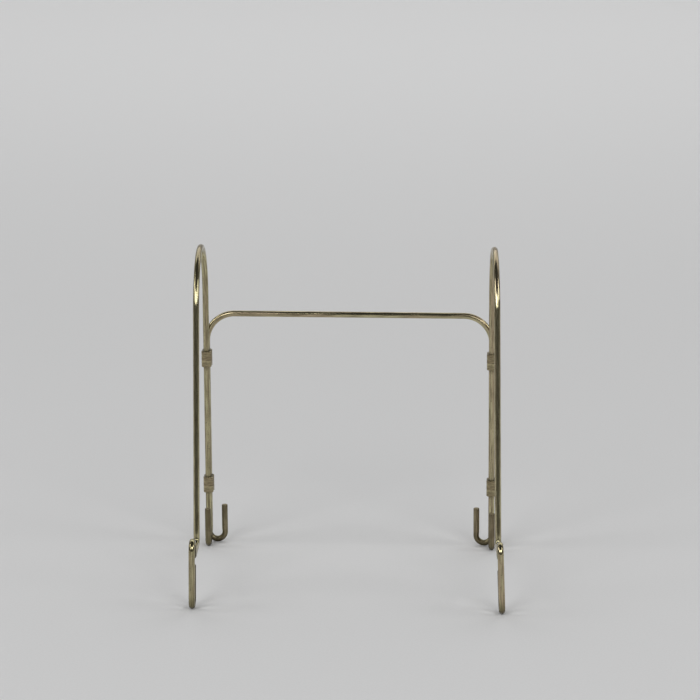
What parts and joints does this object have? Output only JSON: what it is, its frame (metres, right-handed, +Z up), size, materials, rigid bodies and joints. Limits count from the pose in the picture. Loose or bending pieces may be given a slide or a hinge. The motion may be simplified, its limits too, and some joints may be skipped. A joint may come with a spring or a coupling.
{
  "type": "plate display stand",
  "caption": "Folding display stand bent from brass wire: a back frame and hinged side frames whose ledges and hooks hold a plate upright, leaning slightly back.",
  "frame": {"origin": "middle of the bounding box's bottom face, on the surface that the stand rests on", "axes": "+X to the right of a viewer who faces the plate, +Y to the back, away from that viewer, +Z up"},
  "size_m": [0.1554, 0.1196, 0.16],
  "materials": {
    "brass_wire": "drawn wire, polished, lightly tarnished, with fine streaks along the wire",
    "brass_strip": "rolled strip, crimped, satin, with tarnish in the folds"
  },
  "bodies": {
    "back": {"back_frame": "brass_wire", "hinge_band_lower_left": "brass_strip", "hinge_band_upper_left": "brass_strip", "hinge_band_lower_right": "brass_strip", "hinge_band_upper_right": "brass_strip"},
    "left_side": {"left_side_frame": "brass_wire"},
    "right_side": {"right_side_frame": "brass_wire"}
  },
  "joints": [
    {"name": "left_fold", "type": "hinge", "parent": "back", "child": "left_side", "pos_m": [-0.07523, 0.05365, 0.06], "axis": [0, 0, 1], "range_deg": [-92.5, 87.5]},
    {"name": "right_fold", "type": "hinge", "parent": "back", "child": "right_side", "pos_m": [0.06737, 0.05365, 0.06], "axis": [0, 0, -1], "range_deg": [-85.8, 90]}
  ]
}
